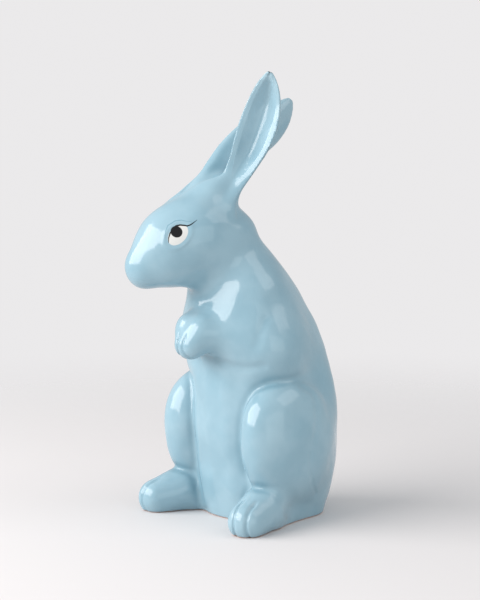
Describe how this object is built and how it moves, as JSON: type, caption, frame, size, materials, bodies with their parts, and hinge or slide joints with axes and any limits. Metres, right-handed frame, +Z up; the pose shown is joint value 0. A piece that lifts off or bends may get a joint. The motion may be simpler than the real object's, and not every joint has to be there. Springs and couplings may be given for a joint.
{
  "type": "hare figurine",
  "caption": "Seated glazed ceramic hare, sitting up with its paws at its chest, its head turned and its cupped ears raised.",
  "frame": {"origin": "middle of the underside of the figure's box, on the surface it stands on", "axes": "+Z up; the hare's body faces -Y and its left side is towards +X; its head is turned towards -X"},
  "size_m": [0.1698, 0.209, 0.4202],
  "materials": {
    "glaze": "pale blue glaze, glossy"
  },
  "bodies": {
    "root": {"hare": "glaze"}
  },
  "joints": []
}
